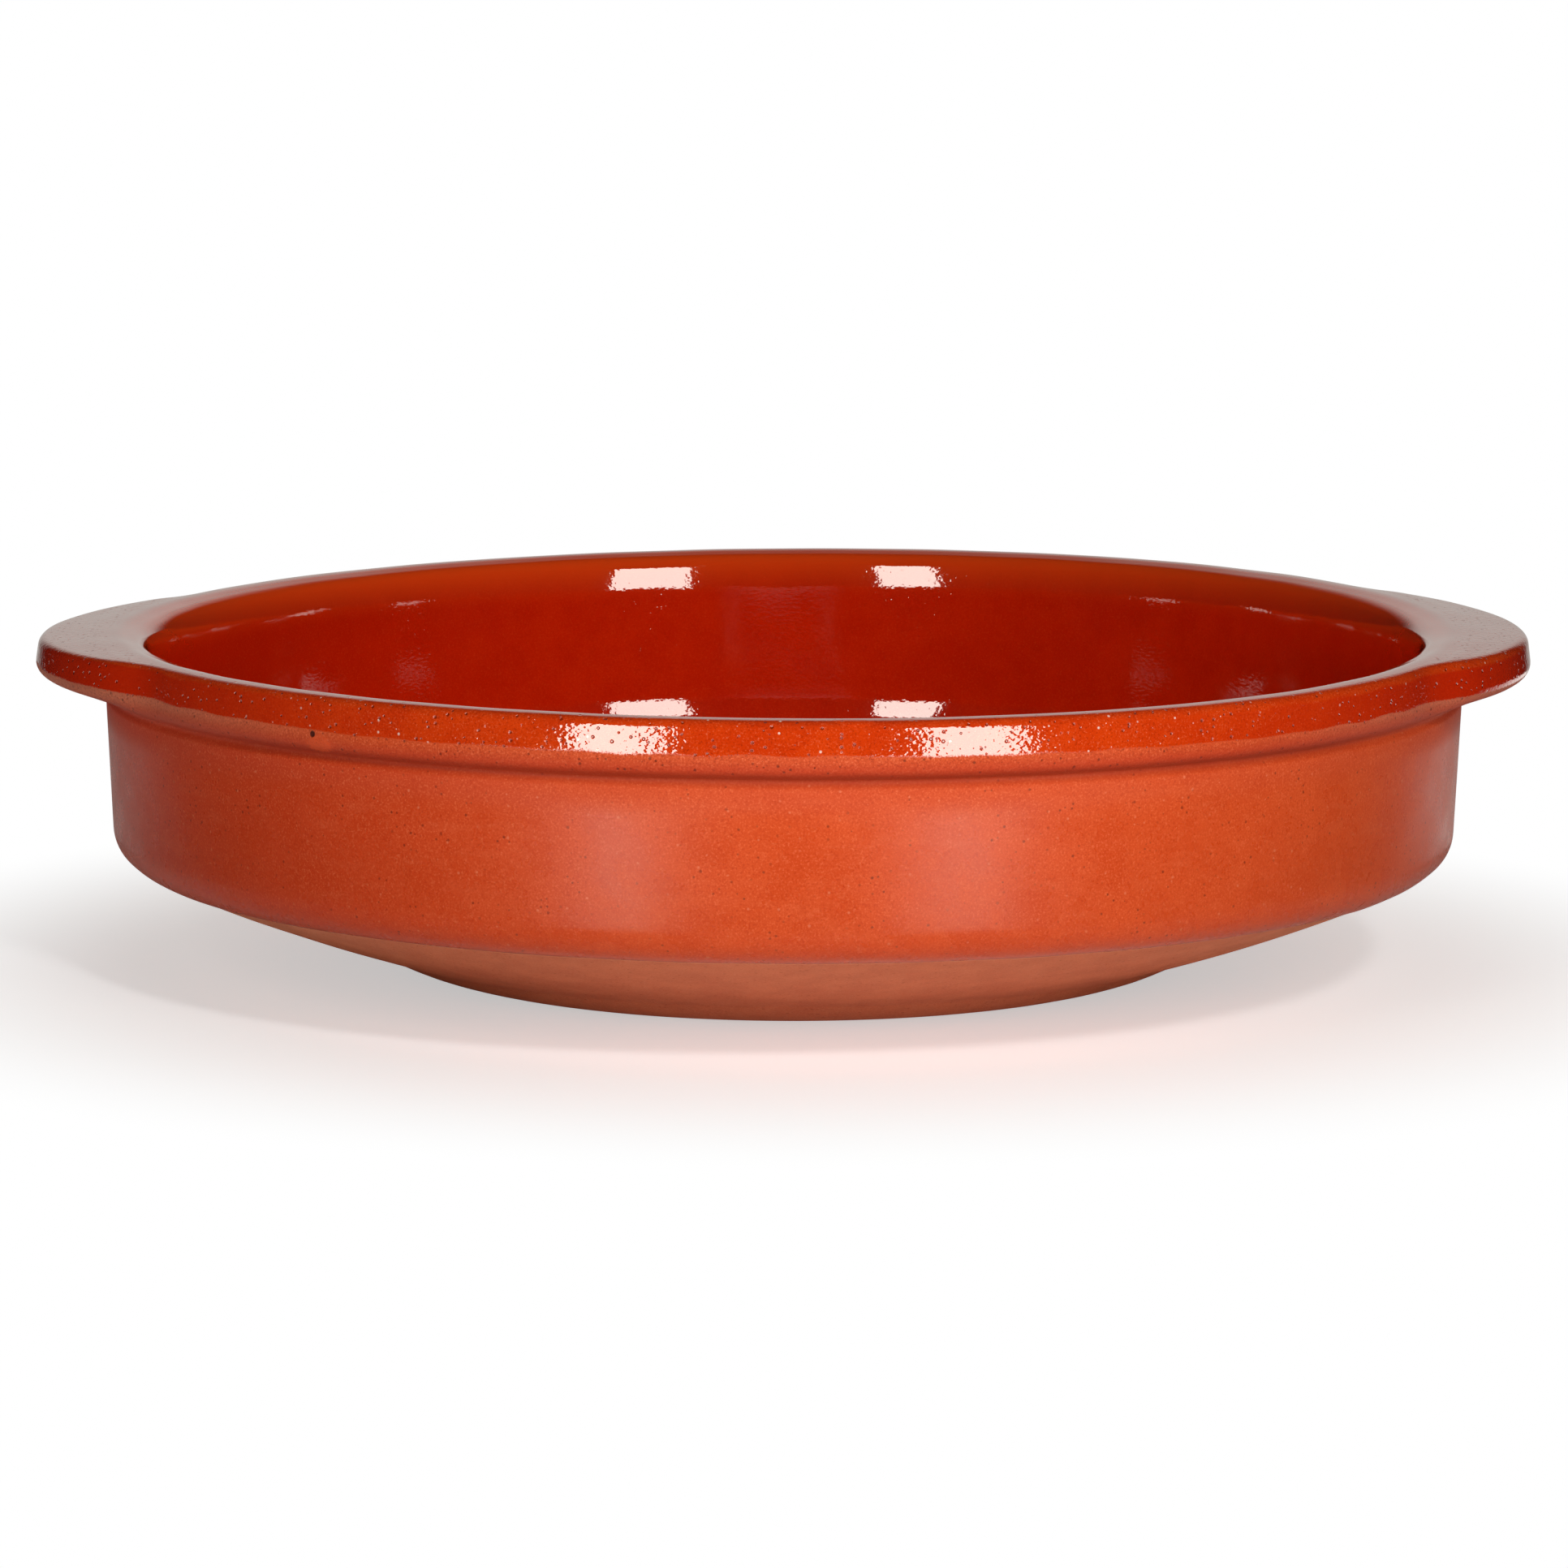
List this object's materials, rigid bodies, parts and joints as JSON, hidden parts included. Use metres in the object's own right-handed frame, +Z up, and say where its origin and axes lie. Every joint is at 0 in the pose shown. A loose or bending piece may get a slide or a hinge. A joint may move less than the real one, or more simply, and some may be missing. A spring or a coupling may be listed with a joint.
{
  "type": "cazuela",
  "caption": "Round shallow earthenware cooking dish with upright walls, a thick rim, two lug handles and a low foot, glazed inside.",
  "frame": {"origin": "middle of the flat base, on the surface the dish stands on", "axes": "+X through the middle of one lug, +Z up along the dish's axis"},
  "size_m": [0.308, 0.284, 0.0705],
  "materials": {
    "earthenware": "clear gloss glaze inside and over the rim, satin slip on the wall, bare clay underneath"
  },
  "bodies": {
    "root": {"cazuela": "earthenware"}
  },
  "joints": []
}
